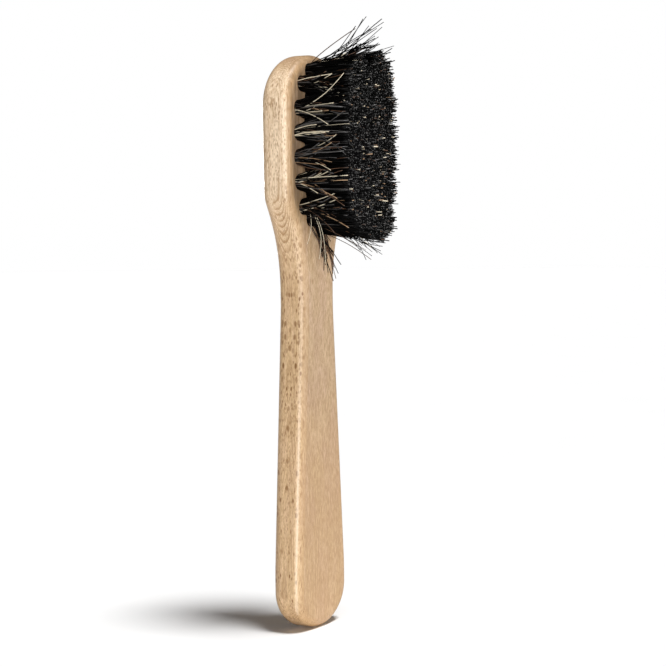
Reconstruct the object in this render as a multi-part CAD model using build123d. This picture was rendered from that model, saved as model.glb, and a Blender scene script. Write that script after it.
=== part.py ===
from build123d import *
import math
import os

# Body dry brush: a one-piece beech paddle with drilled tufts of natural bristle.
# Each tuft is a bundle of hair folded over a flat wire anchor that is driven into a blind hole.
#
# Frame, in millimetres: the brush stands upright, with Z along it towards the head, the bristles
# pointing to -Y and the width along X. The origin is the middle of the flat back.
#
# It is drawn lying on that back, in a bench frame of its own: x along the brush towards the head,
# y across it, and z from the flat back to the bristle tips. UPRIGHT turns every piece to the frame.

# ---- driving dimensions -------------------------------------------------------------------

LENGTH = 200.0            # handle end to head end
THICKNESS = 11.5          # of the beech, the same all along
HEAD_HALF_WIDTH = 21.25
HEAD_END_REACH = 18.4     # length of the head's elliptical end
NECK_HALF_WIDTH = 11.0
HANDLE_HALF_WIDTH = 17.1
HANDLE_END_REACH = 14.1   # length of the handle's elliptical end
FACE_FILLET = 3.2         # rounding of the edge around the bristle face
BACK_FILLET = 4.2         # rounding of the edge around the back

HOLE_RADIUS = 2.5
HOLE_DEPTH = 8.0
HOLE_CHAMFER = 0.3

ROW_SPACING = 7.05        # between rows, across the head
TUFT_PITCH = 8.42         # along a row
TUFT_FIRST_X = 47.4       # outer row's tuft nearest to the handle
FIELD_MIDDLE_X = TUFT_FIRST_X + 2.5 * TUFT_PITCH
FIELD_HALF_LENGTH = 3.0 * TUFT_PITCH
FIELD_HALF_WIDTH = 2.0 * ROW_SPACING
BRISTLE_HEIGHT = 20.6     # above the bristle face
TIP_RADIUS = 3.85         # a tuft's largest radius where it is trimmed
TIP_LEAN_X = 0.3          # outward lean of the tips at the field's ends
TIP_LEAN_Y = 2.0          # and at its sides
TUFT_GAP = 0.1            # half of the space left between neighbouring tufts
ROOT_CLEARANCE = 0.05     # between the folded hair and the hole's wall

ANCHOR_WIDTH = 5.6        # slightly wider than the hole, so both ends bite into the wood
ANCHOR_HEIGHT = 2.0
ANCHOR_THICKNESS = 0.4
ANCHOR_LIFT = 0.8         # hair folded under the anchor
ANCHOR_CLEARANCE = 0.02

# ---- derived places -----------------------------------------------------------------------

UPRIGHT = Plane(origin=(0, 0, 0), x_dir=(0, 0, 1), z_dir=(0, -1, 0)).location
HEAD_END = LENGTH / 2
HANDLE_END = -LENGTH / 2
HEAD_CENTRE = HEAD_END - HEAD_END_REACH
HANDLE_CENTRE = HANDLE_END + HANDLE_END_REACH
HOLE_FLOOR = THICKNESS - HOLE_DEPTH
ANCHOR_MIDDLE = HOLE_FLOOR + ANCHOR_LIFT + ANCHOR_HEIGHT / 2

# Corners of one long side, as (x, half width, blend radius): the head narrows a little, drops
# through a shoulder to the neck, and the handle widens again up to its round end.
SIDE_CORNERS = [
    (64.0, HEAD_HALF_WIDTH, 300.0),
    (49.9, 20.95, 11.0),
    (32.6, 11.2, 52.0),
    (12.5, NECK_HALF_WIDTH, 90.0),
    (-79.0, HANDLE_HALF_WIDTH, 60.0),
]


def side_line(sign):
    """One long side of the outline. It leaves both round ends parallel to the axis."""
    corners = [(x, sign * half_width) for x, half_width, _ in SIDE_CORNERS]
    radii = [radius for _, _, radius in SIDE_CORNERS]
    start = (HEAD_CENTRE, sign * HEAD_HALF_WIDTH)
    end = (HANDLE_CENTRE, sign * HANDLE_HALF_WIDTH)
    return FilletPolyline(start, *corners, end, radius=radii)


def outline_face():
    """The paddle's outline: two long sides between two half ellipses."""
    head_arc = EllipticalCenterArc(
        (HEAD_CENTRE, 0), HEAD_END_REACH, HEAD_HALF_WIDTH, start_angle=-90, arc_size=180
    )
    handle_arc = EllipticalCenterArc(
        (HANDLE_CENTRE, 0), HANDLE_END_REACH, HANDLE_HALF_WIDTH, start_angle=90, arc_size=180
    )
    return make_face([head_arc, side_line(1), handle_arc, side_line(-1)])


# ---- tuft layout --------------------------------------------------------------------------


def tuft_rows():
    """Centres of the tufts, one list per row, from +y to -y and from the handle to the head.

    Neighbouring rows are staggered by half a pitch. Towards both ends of the field the rows
    draw together to follow the round head and the shoulder.
    """
    outer_bow = [2.8, 0.3, 0.0, 0.0, 0.2, 2.6]
    inner_bow = [0.7, 0.4, 0.0, 0.0, 0.0, 0.5, 0.8]
    inner_slip = [0.1, 0.6, 0.0, 0.0, 0.0, -0.3, 0.4]
    middle_slip = [1.6, 0.6, 0.0, 0.0, 0.0, 0.0, 0.4]

    outer = []
    for index, bow in enumerate(outer_bow):
        outer.append((TUFT_FIRST_X + TUFT_PITCH * index, FIELD_HALF_WIDTH - bow))

    inner = []
    for index, (bow, slip) in enumerate(zip(inner_bow, inner_slip)):
        inner.append((TUFT_FIRST_X + TUFT_PITCH * (index - 0.5) + slip, ROW_SPACING - bow))

    middle = []
    for index, slip in enumerate(middle_slip):
        middle.append((TUFT_FIRST_X + TUFT_PITCH * (index - 1) + slip, 0.0))

    mirrored_inner = [(x, -y) for x, y in inner]
    mirrored_outer = [(x, -y) for x, y in outer]
    return [outer, inner, middle, mirrored_inner, mirrored_outer]


def tip_centre(x, y):
    """Where a tuft's tips end up: they lean outwards, most at the rim of the field."""
    lean_x = TIP_LEAN_X * (x - FIELD_MIDDLE_X) / FIELD_HALF_LENGTH
    lean_y = TIP_LEAN_Y * y / FIELD_HALF_WIDTH
    return x + lean_x, y + lean_y


def tip_radius(centre, tips):
    """A tuft spreads as far as its neighbours leave it room."""
    nearest = min(math.dist(centre, other) for other in tips if other != centre)
    return min(TIP_RADIUS, nearest / 2 - TUFT_GAP)


# ---- sub-parts ----------------------------------------------------------------------------


def anchor_solid(x, y, margin=0.0):
    """A flat strip of wire across the hole, near its floor."""
    strip = Box(
        ANCHOR_THICKNESS + 2 * margin, ANCHOR_WIDTH + 2 * margin, ANCHOR_HEIGHT + 2 * margin
    )
    return Pos(x, y, ANCHOR_MIDDLE) * strip


def hole_solid(x, y):
    """A blind hole with a small chamfer at its mouth."""
    hole = Cylinder(HOLE_RADIUS, HOLE_DEPTH, align=(Align.CENTER, Align.CENTER, Align.MAX))
    mouth = Cone(
        HOLE_RADIUS,
        HOLE_RADIUS + HOLE_CHAMFER,
        HOLE_CHAMFER,
        align=(Align.CENTER, Align.CENTER, Align.MAX),
    )
    return Pos(x, y, THICKNESS) * (hole + mouth)


def brush_body(centres):
    """The beech paddle with every tuft hole and the bites of the anchors."""
    blank = extrude(outline_face(), THICKNESS)
    blank = fillet(blank.faces().sort_by(Axis.Z)[-1].edges(), FACE_FILLET)
    blank = fillet(blank.faces().sort_by(Axis.Z)[0].edges(), BACK_FILLET)
    cutters = []
    for x, y in centres:
        cutters.append(hole_solid(x, y))
        cutters.append(anchor_solid(x, y, ANCHOR_CLEARANCE))
    return blank - cutters


def tuft_solid(x, y, tips):
    """The folded root inside the hole, and the hair above it, spreading to the trimmed tips."""
    root_radius = HOLE_RADIUS - ROOT_CLEARANCE
    tip_x, tip_y = tip_centre(x, y)
    root = Pos(x, y, HOLE_FLOOR) * Cylinder(
        root_radius, HOLE_DEPTH, align=(Align.CENTER, Align.CENTER, Align.MIN)
    )
    foot = Plane((x, y, THICKNESS)) * Circle(root_radius)
    trim = Plane((tip_x, tip_y, THICKNESS + BRISTLE_HEIGHT)) * Circle(tip_radius((tip_x, tip_y), tips))
    hair = loft([foot, trim], ruled=True)
    return root + hair - anchor_solid(x, y, ANCHOR_CLEARANCE)


# ---- assembly -----------------------------------------------------------------------------

ROW_LETTERS = "abcde"

rows = tuft_rows()
centres = [centre for row in rows for centre in row]
tips = [tip_centre(x, y) for x, y in centres]

nodes = {"brush_body": brush_body(centres)}
for letter, row in zip(ROW_LETTERS, rows):
    for number, (x, y) in enumerate(row, start=1):
        nodes[f"tuft_{letter}{number}"] = tuft_solid(x, y, tips)
    nodes[f"anchors_row_{letter}"] = Compound([anchor_solid(x, y) for x, y in row])

os.makedirs("parts", exist_ok=True)
for name, shape in nodes.items():
    export_step(UPRIGHT * shape, f"parts/{name}.step")

# The closest pair of holes, and the least wood between a hole and the outline.
hole_gaps = [math.dist(a, b) for i, a in enumerate(centres) for b in centres[i + 1:]]
outline = outline_face().face().outer_wire()
rims = [outline.distance_to(Vector(x, y, 0)) - HOLE_RADIUS for x, y in centres]
print(f"{len(nodes)} nodes, {len(centres)} tufts")
print(f"hole centres are at least {min(hole_gaps):.2f} mm apart")
print(f"wood between a hole and the outline: at least {min(rims):.2f} mm")
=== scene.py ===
import math

import bpy
import numpy as np
from mathutils import Matrix, Vector


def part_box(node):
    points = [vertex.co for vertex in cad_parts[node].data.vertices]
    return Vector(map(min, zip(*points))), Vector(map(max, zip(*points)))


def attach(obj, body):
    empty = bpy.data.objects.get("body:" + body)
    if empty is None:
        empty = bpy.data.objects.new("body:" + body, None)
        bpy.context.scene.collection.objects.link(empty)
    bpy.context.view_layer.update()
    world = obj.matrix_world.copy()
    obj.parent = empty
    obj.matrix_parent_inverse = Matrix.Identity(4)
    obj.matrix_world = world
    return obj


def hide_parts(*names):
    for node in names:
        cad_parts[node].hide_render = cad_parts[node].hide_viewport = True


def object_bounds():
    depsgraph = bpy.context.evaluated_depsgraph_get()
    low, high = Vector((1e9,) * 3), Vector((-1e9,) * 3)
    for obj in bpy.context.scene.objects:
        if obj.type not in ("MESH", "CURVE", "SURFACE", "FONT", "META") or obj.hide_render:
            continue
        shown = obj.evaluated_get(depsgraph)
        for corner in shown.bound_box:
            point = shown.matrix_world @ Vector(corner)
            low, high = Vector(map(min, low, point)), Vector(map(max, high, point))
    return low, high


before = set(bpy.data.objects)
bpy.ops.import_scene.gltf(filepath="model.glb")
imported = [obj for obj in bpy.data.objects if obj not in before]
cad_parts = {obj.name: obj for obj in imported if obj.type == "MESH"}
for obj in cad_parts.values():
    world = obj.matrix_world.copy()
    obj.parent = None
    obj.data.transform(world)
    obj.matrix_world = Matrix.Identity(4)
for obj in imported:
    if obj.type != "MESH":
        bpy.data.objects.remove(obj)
cad_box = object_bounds()

# The brush stands upright: Z runs along it towards the head, the bristles point to -Y and the
# width is along X. Everything is in metres; MM turns the millimetres below into metres.
MM = 0.001
BODY = "root"
rng = np.random.default_rng(20)

wood_low, wood_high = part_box("brush_body")
WOOD_MIDDLE = (wood_low + wood_high) / 2
FACE_Y = wood_low.y                 # the plane of the bristle face
FOOT_Z = wood_low.z                 # the lowest point, where the handle's end meets the floor
TRIM_Y = cad_box[0].y               # the plane in which the bristles are trimmed
HAIR_HEIGHT = FACE_Y - TRIM_Y

TUFT_NODES = sorted(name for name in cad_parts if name.startswith("tuft_"))
ANCHOR_NODES = sorted(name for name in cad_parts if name.startswith("anchors_"))


# ---- node helpers -------------------------------------------------------------------------


def new_material(name):
    material = bpy.data.materials.new(name)
    material.use_nodes = True
    material.node_tree.nodes.clear()
    return material, material.node_tree


def give(tree, socket, value):
    """Gives an input a link if the value is a socket, and the value itself if it isn't."""
    if isinstance(value, bpy.types.NodeSocket):
        tree.links.new(value, socket)
    else:
        socket.default_value = value


def add(tree, kind, settings=None, inputs=None):
    """Adds a node, sets its properties, and gives its inputs a value or a link."""
    node = tree.nodes.new(kind)
    for name, value in (settings or {}).items():
        setattr(node, name, value)
    for name, value in (inputs or {}).items():
        give(tree, node.inputs[name], value)
    return node


def math_node(tree, operation, *values):
    return add(tree, "ShaderNodeMath", {"operation": operation}, dict(enumerate(values))).outputs[0]


def product(tree, *values):
    result = values[0]
    for value in values[1:]:
        result = math_node(tree, "MULTIPLY", result, value)
    return result


def fade(tree, value, start, full):
    """0 where the value is at start, 1 where it is at full, and smooth in between."""
    return add(
        tree,
        "ShaderNodeMapRange",
        {"interpolation_type": "SMOOTHSTEP"},
        {"Value": value, "From Min": start, "From Max": full, "To Min": 0.0, "To Max": 1.0},
    ).outputs["Result"]


def mix_colour(tree, factor, low, high):
    """Mixes two colours; each is a colour or a socket."""
    node = add(tree, "ShaderNodeMix", {"data_type": "RGBA"})
    give(tree, node.inputs[0], factor)
    for socket, value in ((node.inputs[6], low), (node.inputs[7], high)):
        give(tree, socket, value if isinstance(value, bpy.types.NodeSocket) else (*value, 1.0))
    return node.outputs[2]


def ramp(tree, factor, stops):
    """A ramp of greys; stops are (position, grey)."""
    node = add(tree, "ShaderNodeValToRGB", inputs={"Fac": factor})
    elements = node.color_ramp.elements
    while len(elements) < len(stops):
        elements.new(0.5)
    for element, (position, grey) in zip(elements, stops):
        element.position = position
        element.color = (grey, grey, grey, 1.0)
    return node.outputs["Color"]


def stretched(tree, position, scale, offset=(0.0, 0.0, 0.0)):
    """A position, stretched by a scale along each axis and then moved."""
    return add(
        tree, "ShaderNodeMapping", inputs={"Vector": position, "Scale": scale, "Location": offset}
    ).outputs["Vector"]


def millimetres(tree, scale=(1.0, 1.0, 1.0)):
    """Object coordinates in millimetres, stretched by a scale along each axis."""
    metres = add(tree, "ShaderNodeTexCoord").outputs["Object"]
    return stretched(tree, metres, tuple(value / MM for value in scale))


def split(tree, vector):
    """The X, Y and Z of a vector."""
    node = add(tree, "ShaderNodeSeparateXYZ", inputs={"Vector": vector})
    return [node.outputs[axis] for axis in "XYZ"]


def noise(tree, vector, detail=2.0, roughness=0.5):
    return add(
        tree,
        "ShaderNodeTexNoise",
        inputs={"Vector": vector, "Scale": 1.0, "Detail": detail, "Roughness": roughness},
    ).outputs["Fac"]


def spots(tree, vector, size, share):
    """Sparse soft spots: the middles of some of the cells of a Voronoi pattern."""
    cells = add(
        tree, "ShaderNodeTexVoronoi", inputs={"Vector": vector, "Scale": 1.0, "Randomness": 1.0}
    )
    inside = fade(tree, cells.outputs["Distance"], size, size * 0.5)
    tone = add(tree, "ShaderNodeSeparateColor", inputs={"Color": cells.outputs["Color"]})
    chosen = math_node(tree, "LESS_THAN", tone.outputs["Red"], share)
    strength = math_node(tree, "MULTIPLY_ADD", tone.outputs["Green"], 0.6, 0.4)
    return product(tree, inside, chosen, strength)


def surface(tree, colour, roughness, bump_height=None, bump_distance=0.0, **values):
    """The Principled shader at the end of a material."""
    shader = add(tree, "ShaderNodeBsdfPrincipled", inputs={"Base Color": colour, "Roughness": roughness})
    for name, value in values.items():
        shader.inputs[name.replace("_", " ")].default_value = value
    if bump_height is not None:
        bump = add(
            tree, "ShaderNodeBump", inputs={"Height": bump_height, "Strength": 1.0, "Distance": bump_distance}
        )
        tree.links.new(bump.outputs["Normal"], shader.inputs["Normal"])
    output = add(tree, "ShaderNodeOutputMaterial")
    tree.links.new(shader.outputs["BSDF"], output.inputs["Surface"])


# ---- beech --------------------------------------------------------------------------------

BEECH_PALE = (0.93, 0.765, 0.57)
BEECH_LIGHT = (0.68, 0.485, 0.290)
BEECH_SIDE = (0.745, 0.530, 0.300)
BEECH_MID = (0.435, 0.272, 0.130)
BEECH_PINK = (0.640, 0.440, 0.300)
BEECH_RING = (0.335, 0.192, 0.082)
# painted shade: the dark tone of the face strip beside the bristles, where they shade it
BEECH_BRISTLE_SHADE = (0.225, 0.165, 0.118)
BEECH_FLECK = (0.205, 0.095, 0.028)

RING_WIDTH = 0.95      # mm
RING_BOW = 0.17        # how far, per square mm from mid-thickness, a ring bends away
RING_WANDER = 5.0      # mm, over centimetres along the brush
RING_RIPPLE = 0.8      # mm, over millimetres
RING_LINE = [(0.0, 0.5), (0.10, 0.0), (0.5, 0.06), (0.78, 0.55), (0.92, 1.0), (1.0, 0.5)]
BEECH_RELIEF = 0.035 * MM

# Noises in the wood: scale per millimetre along X, Y and Z, offset, detail, roughness. A small
# scale along Z makes a noise long in the direction of the grain.
WOOD_NOISES = {
    "cloud": ((0.15, 0.15, 0.06), (11.0, 3.0, 8.0), 2.0, 0.5),
    "band": ((0.8, 0.8, 0.035), (3.0, 8.0, 1.0), 2.0, 0.5),
    "streak": ((1.5, 2.3, 0.03), (7.0, 4.0, 6.0), 2.0, 0.7),
    "fibre": ((2.4, 2.4, 0.50), (0.0, 0.0, 0.0), 3.0, 0.75),
    "fine": ((3.2, 3.2, 0.40), (5.0, 9.0, 2.0), 2.0, 0.7),
    "wander": ((0.07, 0.07, 0.014), (0.0, 0.0, 0.0), 2.0, 0.5),
    "ripple": ((0.45, 0.45, 0.09), (0.0, 0.0, 0.0), 2.0, 0.5),
    "patches": ((0.2, 0.2, 0.06), (31.0, 7.0, 3.0), 2.0, 0.5),
}

# Flecks in the wood: scale and offset, the spot's size in its cell, and the share of cells with a
# spot. The mirrored ones are the same on both sides of mid-thickness.
WOOD_SPOTS = {
    "small": ((0.12, 1.9, 0.70), (3.0, 5.0, 7.0), 0.42, 0.55),
    "dashes": ((1.3, 1.3, 0.26), (9.0, 1.0, 4.0), 0.40, 0.45),
}
MIRRORED_SPOTS = {
    "large": ((0.07, 0.62, 0.30), (2.0, 0.3, 4.0), 0.40, 0.22),
    "rays": ((0.08, 1.10, 0.42), (0.0, 0.0, 0.0), 0.40, 0.50),
}

# Where along the brush a tone of the wood fades, in mm of the frame's Z: first the height that
# has none of it, then the height where it is full.
HEAD_FADE = (20.0, 60.0)
# painted shade beside the bristles, from the lowest tufts upwards
BRISTLE_SHADE_FADE = (42.0, 52.0)
# painted light on the neck's face, against the shadow of the bristles
NECK_IN = (-50.0, 20.0)
NECK_OUT = (46.0, 40.0)
SHOULDER_IN = (18.0, 30.0)
SHOULDER_OUT = (62.0, 48.0)
# painted shade on the face, darker towards the foot
LOW_FACE_SHADE_FADE = (10.0, -90.0)
ABOVE_LOW_END = (-45.0, -5.0)


def growth_rings(tree, x, deep, pattern):
    """Dark late-wood lines. The rings follow X and bend with the distance from mid-thickness."""
    radius = math_node(tree, "ADD", x, product(tree, deep, deep, RING_BOW))
    radius = math_node(tree, "MULTIPLY_ADD", pattern["wander"], RING_WANDER, radius)
    radius = math_node(tree, "MULTIPLY_ADD", pattern["ripple"], RING_RIPPLE, radius)
    phase = math_node(tree, "FRACT", math_node(tree, "DIVIDE", radius, RING_WIDTH))
    return product(tree, ramp(tree, phase, RING_LINE), fade(tree, pattern["patches"], 0.32, 0.62))


def wood_patterns(tree, position):
    """The noises, flecks and growth rings of the wood, each from 0 to 1, by name."""
    x, y, z = split(tree, position)
    deep = math_node(tree, "ABSOLUTE", math_node(tree, "SUBTRACT", y, WOOD_MIDDLE.y / MM))
    mirrored = add(tree, "ShaderNodeCombineXYZ", inputs={"X": x, "Y": deep, "Z": z}).outputs["Vector"]
    pattern = {}
    for name, (scale, offset, detail, roughness) in WOOD_NOISES.items():
        pattern[name] = noise(tree, stretched(tree, position, scale, offset), detail, roughness)
    for source, table in ((position, WOOD_SPOTS), (mirrored, MIRRORED_SPOTS)):
        for name, (scale, offset, size, share) in table.items():
            pattern[name] = spots(tree, stretched(tree, source, scale, offset), size, share)
    pattern["rings"] = growth_rings(tree, x, deep, pattern)
    return pattern


def wood_places(tree, position):
    """Masks from 0 to 1 by where a point is on the brush and which way its surface looks.

    side is 0 on the flat face and back and 1 on the board's sides; the rounded edges lie between.
    """
    height = split(tree, position)[2]
    looks_x, looks_y, looks_z = split(tree, add(tree, "ShaderNodeNewGeometry").outputs["Normal"])
    side = math_node(tree, "ABSOLUTE", looks_x)
    on_side = fade(tree, side, 0.35, 0.9)
    to_face = math_node(tree, "LESS_THAN", looks_y, -0.15)
    from_edge = math_node(tree, "ABSOLUTE", math_node(tree, "SUBTRACT", side, 0.42))
    beside_edge = product(tree, fade(tree, from_edge, 0.40, 0.15), to_face)
    # painted highlight: a pale line along the face's rounded edge
    edge = product(tree, fade(tree, side, 0.70, 0.84), fade(tree, side, 0.97, 0.88), to_face)
    strip = fade(tree, height, *BRISTLE_SHADE_FADE)
    low_face_shade = fade(tree, height, *LOW_FACE_SHADE_FADE)
    return {
        "on_side": on_side,
        "off_side": math_node(tree, "SUBTRACT", 1.0, on_side),
        "edge": edge,
        "beside_edge": beside_edge,
        # painted shade on the back edge, which gets little light
        "back_edge": product(tree, fade(tree, looks_y, 0.10, 0.55), fade(tree, side, 0.2, 0.6)),
        "at_end": fade(tree, math_node(tree, "ABSOLUTE", looks_z), 0.25, 0.60),
        # painted shade on surfaces that face down
        "facing_down_shade": fade(tree, looks_z, -0.05, -0.7),
        "head": fade(tree, height, *HEAD_FADE),
        # painted shade on the face strip beside the bristles
        "strip": product(tree, strip, to_face, fade(tree, side, 0.76, 0.58)),
        # painted light on the neck's face, against the bristles' shadow
        "neck_painted_light": product(tree, fade(tree, height, *NECK_IN), fade(tree, height, *NECK_OUT), to_face),
        "shoulder": product(tree, fade(tree, height, *SHOULDER_IN), fade(tree, height, *SHOULDER_OUT)),
        # painted shade on the lower face
        "low_face_shade": product(tree, low_face_shade, to_face, fade(tree, side, 0.6, 0.3)),
        "above_low_end": fade(tree, height, *ABOVE_LOW_END),
    }


# The functions below each list some layers of colour: a tone, then masks and shares whose product
# says how much of it is laid over what is already there.


def grain_layers(tree, pattern, place):
    """Warm sides, a paler head, brown fibres, long streaks, and painted shade, streaked along the grain, on
    the face beside the bristles.
    """
    fibres = fade(tree, pattern["fibre"], 0.60, 0.40)
    calm = math_node(tree, "SUBTRACT", 0.64, product(tree, place["head"], place["on_side"], 0.38))
    streaks = fade(tree, pattern["streak"], 0.56, 0.42)
    bristle_shade_streaks = math_node(tree, "MULTIPLY_ADD", fade(tree, pattern["band"], 0.60, 0.40), 0.46, 0.36)
    return [
        (BEECH_SIDE, place["on_side"], 0.7),
        (BEECH_PALE, place["head"], place["on_side"], 0.85),
        (BEECH_MID, fibres, calm),
        (BEECH_MID, streaks, place["on_side"], 0.22),
        # painted shade from the bristles on the face strip, in streaks along the grain
        (BEECH_BRISTLE_SHADE, place["strip"], bristle_shade_streaks),
        (BEECH_MID, streaks, place["off_side"], 0.24),
    ]


def shade_layers(tree, pattern, place):
    """Painted shade low on the face, on downward faces and on the back edge; painted light on the neck's
    face; pink bands along the grain.
    """
    return [
        # painted shade on the lower face, against the stronger light there
        (BEECH_MID, place["low_face_shade"], 0.55),
        # painted shade on surfaces that face down
        (BEECH_MID, place["facing_down_shade"], 0.35),
        # painted shade on the back edge
        (BEECH_MID, place["back_edge"], 0.35),
        # painted light on the neck's face, against the bristles' shadow
        (BEECH_PALE, place["neck_painted_light"], 0.16),
        (BEECH_PINK, fade(tree, pattern["band"], 0.40, 0.70), 0.30),
    ]


def ring_layers(tree, pattern, place):
    """Fine pores, and growth rings that show most at the shoulders and at both ends."""
    fine = math_node(tree, "MULTIPLY_ADD", place["on_side"], -0.24, 0.62)
    rings = math_node(tree, "SUBTRACT", 0.72, product(tree, place["head"], 0.25))
    rings = math_node(tree, "MULTIPLY_ADD", place["shoulder"], 0.35, rings)
    rings = math_node(tree, "MULTIPLY_ADD", place["at_end"], 0.40, rings)
    return [
        (BEECH_RING, fade(tree, pattern["fine"], 0.56, 0.40), fine),
        (BEECH_RING, pattern["rings"], rings),
    ]


def fleck_layers(tree, pattern, place):
    """Ray flecks on the sides, fainter towards the head, and dashes beside the rounded edge."""
    towards_handle = math_node(tree, "MULTIPLY_ADD", place["head"], -0.45, 1.0)
    flecks = product(tree, place["on_side"], towards_handle)
    return [
        (BEECH_FLECK, pattern["large"], flecks),
        (BEECH_FLECK, pattern["rays"], flecks),
        (BEECH_FLECK, pattern["small"], place["on_side"], 0.60),
        (BEECH_FLECK, pattern["dashes"], place["beside_edge"], 0.80),
    ]


def edge_layers(tree, place):
    """The face's rounded edge: a painted highlight along it at the low end, and browner just inside it."""
    # the painted highlight shows only on the lower handle
    edge = math_node(tree, "MULTIPLY_ADD", place["above_low_end"], -0.32, 0.32)
    beside = math_node(tree, "MULTIPLY_ADD", place["above_low_end"], 0.15, 0.25)
    return [
        (BEECH_PALE, place["edge"], edge),
        (BEECH_MID, place["beside_edge"], beside),
    ]


def beech_material():
    material, tree = new_material("beech")
    position = millimetres(tree)
    pattern = wood_patterns(tree, position)
    place = wood_places(tree, position)
    colour = mix_colour(tree, fade(tree, pattern["cloud"], 0.38, 0.62), BEECH_LIGHT, BEECH_PINK)
    layers = grain_layers(tree, pattern, place) + shade_layers(tree, pattern, place)
    layers += ring_layers(tree, pattern, place) + fleck_layers(tree, pattern, place)
    layers += edge_layers(tree, place)
    for tone, *masks in layers:
        colour = mix_colour(tree, product(tree, *masks), colour, tone)

    roughness = ramp(tree, pattern["fibre"], [(0.3, 0.50), (0.7, 0.40)])
    height = math_node(tree, "MULTIPLY_ADD", pattern["fine"], 0.6, pattern["fibre"])
    height = math_node(tree, "SUBTRACT", height, product(tree, pattern["rays"], place["on_side"], 0.5))
    surface(tree, colour, roughness, height, BEECH_RELIEF, IOR=1.5, Specular_IOR_Level=0.4)
    return material


# ---- hair and wire materials --------------------------------------------------------------


def hair_material(name, dark, light, roughness, gloss):
    """Hair whose tone drifts from hair to hair and a little along each hair."""
    material, tree = new_material(name)
    tone = noise(tree, millimetres(tree, (2.2, 0.12, 2.2)), roughness=0.7)
    colour = mix_colour(tree, ramp(tree, tone, [(0.3, 0.0), (0.75, 1.0)]), dark, light)
    scales = noise(tree, millimetres(tree, (7.0, 3.0, 7.0)), detail=1.0)
    rough = ramp(tree, scales, [(0.2, roughness - 0.08), (0.8, roughness + 0.08)])
    surface(tree, colour, rough, IOR=1.5, Specular_IOR_Level=gloss)
    return material


HAIR_MATERIALS = [
    hair_material("hair_black", (0.0002, 0.0002, 0.0002), (0.0018, 0.0016, 0.0016), 0.36, 0.055),
    # grey hairs: partly real grey hairs, partly painted glints among the black ones
    hair_material("hair_grey_and_glint", (0.020, 0.018, 0.018), (0.110, 0.104, 0.100), 0.38, 0.45),
    hair_material("hair_brown", (0.035, 0.017, 0.009), (0.14, 0.072, 0.040), 0.40, 0.40),
    hair_material("hair_tan", (0.25, 0.145, 0.078), (0.45, 0.30, 0.175), 0.42, 0.45),
    hair_material("hair_cream", (0.56, 0.48, 0.34), (0.84, 0.76, 0.58), 0.42, 0.5),
    hair_material("hair_cut_dark", (0.0001, 0.0001, 0.0001), (0.0016, 0.0016, 0.0016), 0.7, 0.0),
    # pale cut ends: partly the real cut, partly a painted sheen on the tips
    hair_material("hair_cut_pale_and_sheen", (0.030, 0.030, 0.031), (0.19, 0.187, 0.18), 0.6, 0.2),
]
BLACK, GREY_AND_GLINT, BROWN, TAN, CREAM, CUT_DARK, CUT_PALE_AND_SHEEN = range(len(HAIR_MATERIALS))
CUT_SHEEN_SHARE = 0.38
WIRE_RELIEF = 0.01 * MM


def wire_material():
    """Drawn flat wire of the anchors."""
    material, tree = new_material("anchor_wire")
    streaks = noise(tree, millimetres(tree, (0.4, 8.0, 8.0)), detail=3.0)
    colour = mix_colour(tree, streaks, (0.42, 0.41, 0.39), (0.62, 0.61, 0.58))
    rough = ramp(tree, streaks, [(0.2, 0.42), (0.8, 0.28)])
    surface(tree, colour, rough, streaks, WIRE_RELIEF, Metallic=1.0)
    return material


# ---- hair geometry ------------------------------------------------------------------------

SIDES = 5
ANGLES = np.arange(SIDES) * (2 * math.pi / SIDES)
JITTER = 0.035                        # share of a disc's radius
RADIUS_LIMITS = (0.7, 1.4)            # share of a hair's usual radius


def tube_points(paths, radii):
    """Rings of points round the paths, as (hairs, rings, SIDES, 3)."""
    tangents = np.gradient(paths, axis=1)
    tangents /= np.linalg.norm(tangents, axis=2, keepdims=True)
    first = np.cross(tangents, (1.0, 0.0, 0.0))
    first /= np.linalg.norm(first, axis=2, keepdims=True)
    second = np.cross(tangents, first)
    circle = (
        first[:, :, None, :] * np.cos(ANGLES)[None, None, :, None]
        + second[:, :, None, :] * np.sin(ANGLES)[None, None, :, None]
    )
    return paths[:, :, None, :] + circle * radii[:, :, None, None]


def tube_faces(hairs, rings):
    """Point numbers of the walls' quads, and of the caps at the roots and at the tips."""
    index = np.arange(hairs * rings * SIDES).reshape(hairs, rings, SIDES)
    following = np.roll(index, -1, axis=2)
    quads = np.stack(
        [index[:, :-1], following[:, :-1], following[:, 1:], index[:, 1:]], axis=-1
    ).reshape(-1, 4)
    return quads, index[:, 0, ::-1], index[:, -1]


def tube_mesh(name, paths, radii, kinds, cut_kinds):
    """One mesh of closed tubes. paths is (hairs, rings, 3), radii (hairs, rings), both in metres.

    kinds says which material each hair has, and cut_kinds which one its tip's cap has.
    """
    hairs, rings, _ = paths.shape
    points = tube_points(paths, radii)
    quads, roots, tips = tube_faces(hairs, rings)
    loops = np.concatenate([quads.reshape(-1), roots.reshape(-1), tips.reshape(-1)])
    sizes = np.concatenate([np.full(len(quads), 4), np.full(2 * hairs, SIDES)])
    starts = np.concatenate([[0], np.cumsum(sizes)[:-1]])
    materials = np.concatenate([np.repeat(kinds, len(quads) // hairs), kinds, cut_kinds])

    mesh = bpy.data.meshes.new(name)
    mesh.vertices.add(points.size // 3)
    mesh.vertices.foreach_set("co", points.reshape(-1).astype(np.float32))
    mesh.loops.add(loops.size)
    mesh.loops.foreach_set("vertex_index", loops.astype(np.int32))
    mesh.polygons.add(sizes.size)
    mesh.polygons.foreach_set("loop_start", starts.astype(np.int32))
    mesh.polygons.foreach_set("material_index", materials.astype(np.int32))
    mesh.polygons.foreach_set("use_smooth", sizes == 4)
    mesh.update(calc_edges=True)
    mesh.validate()
    for material in HAIR_MATERIALS:
        mesh.materials.append(material)
    piece = bpy.data.objects.new(name, mesh)
    bpy.context.scene.collection.objects.link(piece)
    return piece


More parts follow.
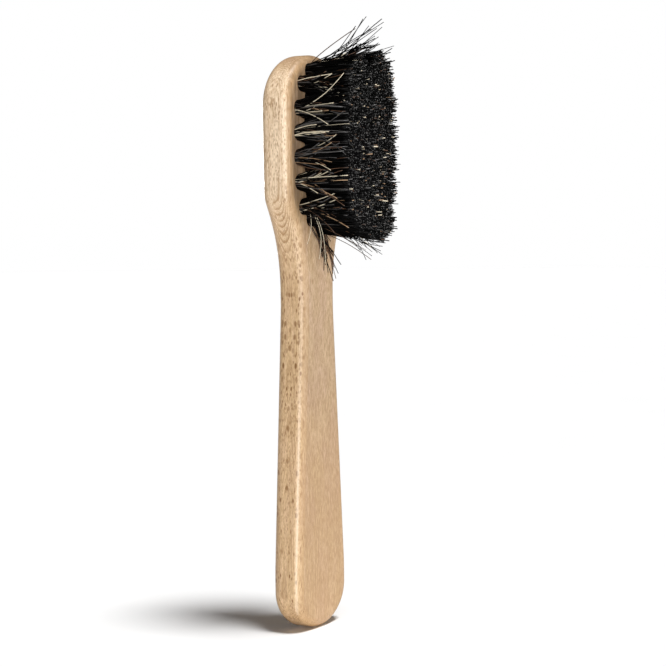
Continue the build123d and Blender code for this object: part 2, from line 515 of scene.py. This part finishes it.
def disc_points(count, radius):
    """Points spread evenly over a disc, with some jitter, as (count, 2)."""
    golden = math.pi * (3 - math.sqrt(5))
    order = np.arange(count) + 0.5
    distance = radius * np.sqrt(order / count)
    angle = order * golden + rng.uniform(0, 2 * math.pi)
    points = np.stack([distance * np.cos(angle), distance * np.sin(angle)], axis=1)
    return points + rng.normal(0, radius * JITTER, (count, 2))


def hair_kinds(count, kinds):
    """A material for each hair; kinds is one material, or the share of each."""
    if isinstance(kinds, int):
        return np.full(count, kinds)
    return rng.choice(len(kinds), count, p=kinds)


def cut_kinds_for(kinds):
    """The material of each hair's cut end: many dark hairs are paler there, partly a real pale cut and partly
    a painted sheen, and cream ones are tan.
    """
    sheen_cut = rng.random(len(kinds)) < CUT_SHEEN_SHARE
    dark_hair = kinds <= BROWN
    pale_cut = np.where(kinds == CREAM, TAN, kinds)
    return np.where(dark_hair, np.where(sheen_cut, CUT_PALE_AND_SHEEN, CUT_DARK), pale_cut)


def uneven_radii(radius, count, variation):
    """A radius for each hair; variation is the deviation from the usual one, as a share of it."""
    return radius * rng.normal(1.0, variation, count).clip(*RADIUS_LIMITS)


# ---- the field of tufts, from the CAD nodes -----------------------------------------------


def tuft_rings(node):
    """(x, z) of the middle of a tuft at its hole and at its trimmed tips, from the CAD node."""
    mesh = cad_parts[node].data
    points = np.array([vertex.co for vertex in mesh.vertices])
    root = points[points[:, 1] > FACE_Y + 0.1 * MM]
    tip = points[points[:, 1] < TRIM_Y + 0.1 * MM]
    return [(part[:, [0, 2]].min(0) + part[:, [0, 2]].max(0)) / 2 for part in (root, tip)]


TUFT_RINGS = {node: tuft_rings(node) for node in TUFT_NODES}
INNER_ROW_Z = [root[1] for node, (root, tip) in TUFT_RINGS.items() if node.startswith("tuft_b")]
ROW_REACH = max(root[0] for root, tip in TUFT_RINGS.values())
FIELD_MIDDLE_Z = (min(INNER_ROW_Z) + max(INNER_ROW_Z)) / 2
FIELD_HALF_LENGTH = (max(INNER_ROW_Z) - min(INNER_ROW_Z)) / 2


# ---- tufts --------------------------------------------------------------------------------

HAIRS_PER_TUFT = 200
HAIR_SHARES = [0.907, 0.065, 0.015, 0.004, 0.009]
HAIR_RADIUS = 0.155 * MM
HAIR_VARIATION = 0.13
HAIR_TAPER = 0.08
LIGHT_CUT_WIDTH = 1.2                 # hairs with a light cut end are a little thicker
RINGS = 8
ROOT_RADIUS = 2.3 * MM
ROOT_DEPTH = 1.6 * MM

# Where the hair is trimmed, a tuft is this wide from its middle.
SPREAD_ACROSS = (4.1 * MM, 3.5 * MM)  # middle rows, outer rows
OUTER_ROW = 0.7                       # share of the field's half width beyond which a row is outer
SPREAD_ALONG = 4.9 * MM
FAR_SPREAD = 0.7 * MM                 # added to it in the outermost +X row
SCATTER = 0.40 * MM
CROSSING_SHARE = 0.10                 # the hairs that run across their tuft
CROSSING_SCATTER = 1.7 * MM
CROSSING_BEND = 2.2                   # times the bend of the others

# How far the trimmed ends lean outwards from the CAD cones at the field's rim, and less towards
# its middle. In a pair, the low end of the field is first.
LEAN = -1.5 * MM                      # across the brush
CORNER_LEAN = 1.8 * MM                # added to it in the corners
END_LEAN = (-0.6 * MM, -0.8 * MM)     # along the brush
FAR_LEAN = (8.0 * MM, 5.0 * MM)       # added to it on the +X side

LONGER = (0.55 * MM, 0.12 * MM)       # how far hairs pass the trimmed plane: mean and deviation
LONG_SHARE = 0.09
LONG_BY = (0.2, 1.6)                  # mm that the long ones have in addition
RIM_FLARE = 4.0                       # how soon the hairs at a tuft's rim go outwards
FLARE_RANGE = (0.35, 1.0)             # and how much this varies from hair to hair
FIELD_END_CALM = 0.9                  # how much of it the field's own ends can lose
BEND = 0.30 * MM
WAVE = 0.10 * MM
WAVE_TURNS = 2.25


def tuft_tips(roots, crossing, across, along):
    """(x, z) of the hairs' trimmed ends, from the middle of the tuft's CAD tip.

    across and along say where the tuft is in the field: 0 is its middle, -1 and 1 are its ends.
    """
    far = max(across, 0.0)
    end = int(along > 0)
    outer_row = int(abs(across) > OUTER_ROW)
    spread = np.array([SPREAD_ACROSS[outer_row], SPREAD_ALONG + FAR_SPREAD * far])
    scatter = np.where(crossing, CROSSING_SCATTER, SCATTER)[:, None]
    tips = roots * (spread / ROOT_RADIUS) + rng.normal(0, 1, roots.shape) * scatter
    tips[:, 0] += (LEAN + CORNER_LEAN * abs(along) ** 3) * across
    tips[:, 1] += END_LEAN[end] * along**3 + FAR_LEAN[end] * along * abs(along) * far
    return tips


def hair_lengths(count):
    """How far each hair stands out of the wood."""
    longer = rng.normal(*LONGER, count)
    long_ones = rng.random(count) < LONG_SHARE
    return HAIR_HEIGHT + longer + long_ones * rng.uniform(*LONG_BY, count) * MM


def flared(roots, along, above):
    """The share of its way outwards that each hair has gone at each height above the wood.

    Hairs at the rim go outwards early, except at the field's own ends.
    """
    rim = np.linalg.norm(roots, axis=1) / ROOT_RADIUS
    field_end = np.clip(roots[:, 1] / ROOT_RADIUS * along, 0, FIELD_END_CALM)
    flare = RIM_FLARE * rim**2 * rng.uniform(*FLARE_RANGE, len(roots)) * (1 - field_end)
    return 1 - (1 - above) ** (1.0 + flare)[:, None]


def swayed(crossing, above):
    """(x, z) of each hair's sideways bend and small wave at each height."""
    count = len(crossing)
    bend = rng.normal(0, BEND, (count, 2)) * np.where(crossing, CROSSING_BEND, 1.0)[:, None]
    wave = rng.normal(0, WAVE, (count, 2))
    phase = rng.uniform(0, 2 * math.pi, count)[:, None]
    one_bend = np.sin(math.pi * above)
    waves = above * np.sin(WAVE_TURNS * 2 * math.pi * above + phase)
    return one_bend[:, :, None] * bend[:, None, :] + waves[:, :, None] * wave[:, None, :]


def tuft_paths(root_middle, tip_middle):
    """The paths of one tuft's hairs, from inside the hole to the trimmed tips."""
    across = root_middle[0] / ROW_REACH
    along = (root_middle[1] - FIELD_MIDDLE_Z) / FIELD_HALF_LENGTH
    roots = disc_points(HAIRS_PER_TUFT, ROOT_RADIUS)
    crossing = rng.random(HAIRS_PER_TUFT) < CROSSING_SHARE
    tips = tuft_tips(roots, crossing, across, along)
    length = hair_lengths(HAIRS_PER_TUFT)[:, None]
    height = -ROOT_DEPTH + (length + ROOT_DEPTH) * np.linspace(0, 1, RINGS)
    above = np.clip(height / length, 0, 1)
    spread = flared(roots, along, above)
    sway = swayed(crossing, above)
    roots = roots + root_middle
    tips = tips + tip_middle
    flat = roots[:, None, :] + (tips - roots)[:, None, :] * spread[:, :, None] + sway
    return np.stack([flat[:, :, 0], FACE_Y - height, flat[:, :, 1]], axis=2)


def tuft_piece(node):
    """One tuft as separate hairs, in the place of its CAD cone."""
    paths = tuft_paths(*TUFT_RINGS[node])
    kinds = hair_kinds(HAIRS_PER_TUFT, HAIR_SHARES)
    cut_kinds = cut_kinds_for(kinds)
    thickness = uneven_radii(HAIR_RADIUS, HAIRS_PER_TUFT, HAIR_VARIATION)
    thickness = thickness * np.where(cut_kinds == CUT_DARK, 1.0, LIGHT_CUT_WIDTH)
    radii = thickness[:, None] * np.linspace(1.0, 1.0 - HAIR_TAPER, RINGS)
    piece = tube_mesh("hair_" + node, paths, radii, kinds, cut_kinds)
    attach(piece, BODY)
    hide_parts(node)


# ---- loose and stray hairs ----------------------------------------------------------------

LOOSE_RINGS = 14
LOOSE_VARIATION = 0.12
LOOSE_TAPER = 0.15
LOOSE_ROOT_DEPTH = 0.1 * MM
LOOSE_ROOT_RADIUS = 0.9 * ROOT_RADIUS
LOOSE_LEAN = 0.05                     # of the curve's control point, as a share of the reach
CONTROL_SHARE = 0.3                   # how far towards the tip the control point is
KINK = 0.05 * MM

CROSSING_PER_TUFT = 17
CROSSING_KINDS = [0.12, 0.26, 0.20, 0.14, 0.28]
CROSSING_RADIUS = 0.16 * MM
CROSSING_ROOT_DEPTH = 0.8 * MM
CROSSING_LIFT = 0.5
CROSSING_TURN = 0.7                   # radians round the hole: deviation of the roots
CROSSING_SLOPE = 0.24                 # along the brush, per length: deviation of the tips
CROSSING_REACH = (3.9, 5.0)           # mm from the tuft's middle, outwards over the flank
CROSSING_LENGTH = (0.45, 1.03)        # share of the height of the trimmed hair

TOP_TUFTS = ["tuft_b7", "tuft_c7", "tuft_d7"]
LOW_TUFTS = ["tuft_c1", "tuft_b1", "tuft_d1"]

# Each group of stray hairs: how many, the tufts that they come from, the corners of the box that
# their tips lie in (mm, in the frame), the kinds of hair, the lift of their curve and the radius.
STRAY_HAIRS = {
    "fringe_hair_head": (
        72, TOP_TUFTS, (-9.0, -34.0, 95.0), (16.0, -25.0, 104.0),
        [0.80, 0.14, 0.04, 0.0, 0.02], 0.22, 0.16 * MM,
    ),
    "stray_hair_head": (
        16, TOP_TUFTS, (-6.0, -34.5, 103.0), (12.0, -27.0, 112.5),
        [0.92, 0.05, 0.03, 0.0, 0.0], 0.16, 0.155 * MM,
    ),
    "stray_hair_neck": (
        24, LOW_TUFTS[:2], (-7.0, -18.5, 21.5), (4.0, -14.0, 36.0),
        [0.64, 0.0, 0.36, 0.0, 0.0], 0.10, 0.16 * MM,
    ),
    "stray_hair_low": (
        26, LOW_TUFTS, (-5.0, -34.5, 29.0), (12.0, -25.0, 38.5),
        [0.60, 0.22, 0.1, 0.04, 0.04], 0.4, 0.12 * MM,
    ),
    "stray_hair_pale": (
        3, ["tuft_a1", "tuft_b1"], (-16.0, -19.0, 27.0), (-7.0, -14.0, 35.0),
        CREAM, 0.4, 0.09 * MM,
    ),
}


def kinks(count):
    """Small uneven steps along hairs, none at their roots."""
    steps = rng.normal(0, KINK, (count, LOOSE_RINGS, 3))
    steps[:, 0] = 0
    smooth = (steps + np.roll(steps, 1, axis=1) + np.roll(steps, -1, axis=1)) / 3
    smooth[:, 0] = 0
    return smooth


def loose_hairs(name, roots, tips, lift, radius, kinds):
    """One piece of single hairs on quadratic curves, with a few kinks.

    roots and tips are (count, 3) in metres; lift is how far the curve's control point stands
    out of the wood, as a share of each hair's reach.
    """
    count = len(roots)
    reach = np.linalg.norm(tips - roots, axis=1)
    lean = rng.normal(0, LOOSE_LEAN, (count, 3)) * reach[:, None]
    control = roots + (tips - roots) * CONTROL_SHARE + lean
    control[:, 1] = roots[:, 1] - lift * reach
    t = np.linspace(0, 1, LOOSE_RINGS)[None, :, None]
    paths = (1 - t) ** 2 * roots[:, None] + 2 * t * (1 - t) * control[:, None] + t**2 * tips[:, None]
    paths = paths + kinks(count)
    thickness = uneven_radii(radius, count, LOOSE_VARIATION)
    radii = thickness[:, None] * np.linspace(1.0, 1.0 - LOOSE_TAPER, LOOSE_RINGS)
    piece = tube_mesh(name, paths, radii, kinds, cut_kinds_for(kinds))
    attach(piece, BODY)


def root_points(count, nodes):
    """Random points near the rims of the holes of some tufts."""
    middles = np.array([TUFT_RINGS[node][0] for node in nodes])[rng.integers(0, len(nodes), count)]
    angle = rng.uniform(0, 2 * math.pi, count)
    flat = middles + np.stack([np.cos(angle), np.sin(angle)], axis=1) * LOOSE_ROOT_RADIUS
    return np.stack([flat[:, 0], np.full(count, FACE_Y + LOOSE_ROOT_DEPTH), flat[:, 1]], axis=1)


def stray_hairs():
    """Hairs that escaped the trimming: over the head, before the neck and below the field."""
    for name, (count, nodes, low, high, shares, lift, radius) in STRAY_HAIRS.items():
        tips = rng.uniform(low, high, (count, 3)) * MM
        kinds = hair_kinds(count, shares)
        roots = root_points(count, nodes)
        loose_hairs(name, roots, tips, lift, radius, kinds)


def crossing_hairs(node):
    """Light hairs that lean across the flank of a tuft of an outer row."""
    middle_x, middle_z = TUFT_RINGS[node][0]
    outward = math.copysign(1.0, middle_x)
    count = CROSSING_PER_TUFT
    angle = rng.normal(0, CROSSING_TURN, count)
    length = HAIR_HEIGHT * rng.uniform(*CROSSING_LENGTH, count)
    slope = rng.normal(0, CROSSING_SLOPE, count)
    roots = np.stack([
        middle_x + outward * ROOT_RADIUS * np.cos(angle),
        np.full(count, FACE_Y + CROSSING_ROOT_DEPTH),
        middle_z + ROOT_RADIUS * np.sin(angle),
    ], axis=1)
    tips = np.stack([
        middle_x + outward * rng.uniform(*CROSSING_REACH, count) * MM,
        FACE_Y - length,
        middle_z + slope * length,
    ], axis=1)
    kinds = hair_kinds(count, CROSSING_KINDS)
    name = "crossing_hair_" + node[-2:]
    loose_hairs(name, roots, tips, CROSSING_LIFT, CROSSING_RADIUS, kinds)


# ---- wood and anchors ---------------------------------------------------------------------


def dress_cad_nodes():
    """Gives the CAD's own wood and anchors their materials."""
    beech = beech_material()
    wire = wire_material()
    for name, material in [("brush_body", beech)] + [(node, wire) for node in ANCHOR_NODES]:
        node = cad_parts[name]
        node.data.materials.clear()
        node.data.materials.append(material)


# ---- floor, light and camera --------------------------------------------------------------

VIEW_AZIMUTH = math.radians(60.0)     # from the bristles' direction round to the brush's -X side
VIEW_ELEVATION = math.radians(3.46)
VIEW_ROLL = math.radians(-0.71)
VIEW_DISTANCE = 646.0 * MM
FRAME_WIDTH = 233.8 * MM              # what the frame spans at that distance
AIM_RIGHT = 9.15 * MM                 # from the middle of the wood to the middle of the frame
AIM_UP = 3.42 * MM
UP = Vector((0.0, 0.0, 1.0))
VIEW_LEVEL = Vector((-math.sin(VIEW_AZIMUTH), -math.cos(VIEW_AZIMUTH), 0.0))
VIEW_RIGHT = Vector((math.cos(VIEW_AZIMUTH), -math.sin(VIEW_AZIMUTH), 0.0))
FLOOR_RADIUS = 6.0
AMBIENT = 0.04                        # the strength of the white backdrop as a light

# Each lamp: the level direction that it stands in, its elevation in degrees, its strength, and the
# angle in degrees that softens its shadows.
SUNS = {
    "top": (VIEW_RIGHT * 0.84 + VIEW_LEVEL * 0.54, 75.0, 1.03, 15.0),
    "side": (VIEW_RIGHT * 0.89 + VIEW_LEVEL * 0.45, 2.0, 0.26, 4.0),
    "front": (VIEW_LEVEL, 2.0, 0.68, 4.0),
    "back": (Vector((0.75, 0.66, 0.0)), 2.4, 0.31, 5.0),
}


def paper_material():
    material, tree = new_material("studio_paper")
    grain = noise(tree, millimetres(tree, (0.02, 0.02, 0.02)))
    colour = mix_colour(tree, grain, (0.93, 0.93, 0.93), (0.96, 0.96, 0.96))
    surface(tree, colour, 0.9, Specular_IOR_Level=0.1)
    return material


def studio_floor():
    bpy.ops.mesh.primitive_circle_add(
        vertices=96, radius=FLOOR_RADIUS, fill_type="NGON", location=(0, 0, FOOT_Z)
    )
    floor = bpy.context.object
    floor.name = "studio_floor"
    floor.data.materials.append(paper_material())


def sun(name, level_direction, elevation, strength, angle):
    """A soft distant lamp; a white surface that faces it shows the strength as its brightness."""
    data = bpy.data.lights.new(name, "SUN")
    data.energy = strength * math.pi
    data.angle = math.radians(angle)
    lamp = bpy.data.objects.new(name, data)
    lift = math.radians(elevation)
    direction = level_direction.normalized() * math.cos(lift) + UP * math.sin(lift)
    lamp.rotation_mode = "QUATERNION"
    lamp.rotation_quaternion = direction.to_track_quat("Z", "Y")
    bpy.context.scene.collection.objects.link(lamp)


def studio_world():
    """A white backdrop that lights the brush only a little."""
    world = bpy.data.worlds.new("studio")
    world.use_nodes = True
    tree = world.node_tree
    background = tree.nodes["Background"]
    background.inputs["Color"].default_value = (1.0, 1.0, 1.0, 1.0)
    seen = add(tree, "ShaderNodeLightPath").outputs["Is Camera Ray"]
    strength = add(tree, "ShaderNodeMapRange", inputs={"Value": seen, "To Min": AMBIENT, "To Max": 1.0})
    tree.links.new(strength.outputs["Result"], background.inputs["Strength"])
    bpy.context.scene.world = world


def photo_camera():
    """The photo's camera, which looks past the middle of the wood and is rolled a little."""
    towards = VIEW_LEVEL * math.cos(VIEW_ELEVATION) + UP * math.sin(VIEW_ELEVATION)
    level_up = towards.cross(VIEW_RIGHT)
    right = VIEW_RIGHT * math.cos(VIEW_ROLL) + level_up * math.sin(VIEW_ROLL)
    up = towards.cross(right)
    position = WOOD_MIDDLE + towards * VIEW_DISTANCE
    aim = WOOD_MIDDLE + right * AIM_RIGHT + up * AIM_UP
    back = (position - aim).normalized()
    across = (right - back * right.dot(back)).normalized()
    turn = Matrix((across, back.cross(across), back)).transposed()
    data = bpy.data.cameras.new("photo_camera")
    data.sensor_width = 36.0
    data.lens = data.sensor_width * VIEW_DISTANCE / FRAME_WIDTH
    data.clip_start = 0.01
    data.clip_end = 50.0
    camera = bpy.data.objects.new("photo_camera", data)
    camera.matrix_world = Matrix.Translation(position) @ turn.to_4x4()
    bpy.context.scene.collection.objects.link(camera)
    bpy.context.scene.camera = camera


# ---- build --------------------------------------------------------------------------------

dress_cad_nodes()
for node in TUFT_NODES:
    tuft_piece(node)
for node in TUFT_NODES:
    if node.startswith(("tuft_a", "tuft_e")):
        crossing_hairs(node)
stray_hairs()
studio_floor()
for name, settings in SUNS.items():
    sun(name, *settings)
studio_world()
photo_camera()
bpy.context.scene.view_settings.view_transform = "Standard"
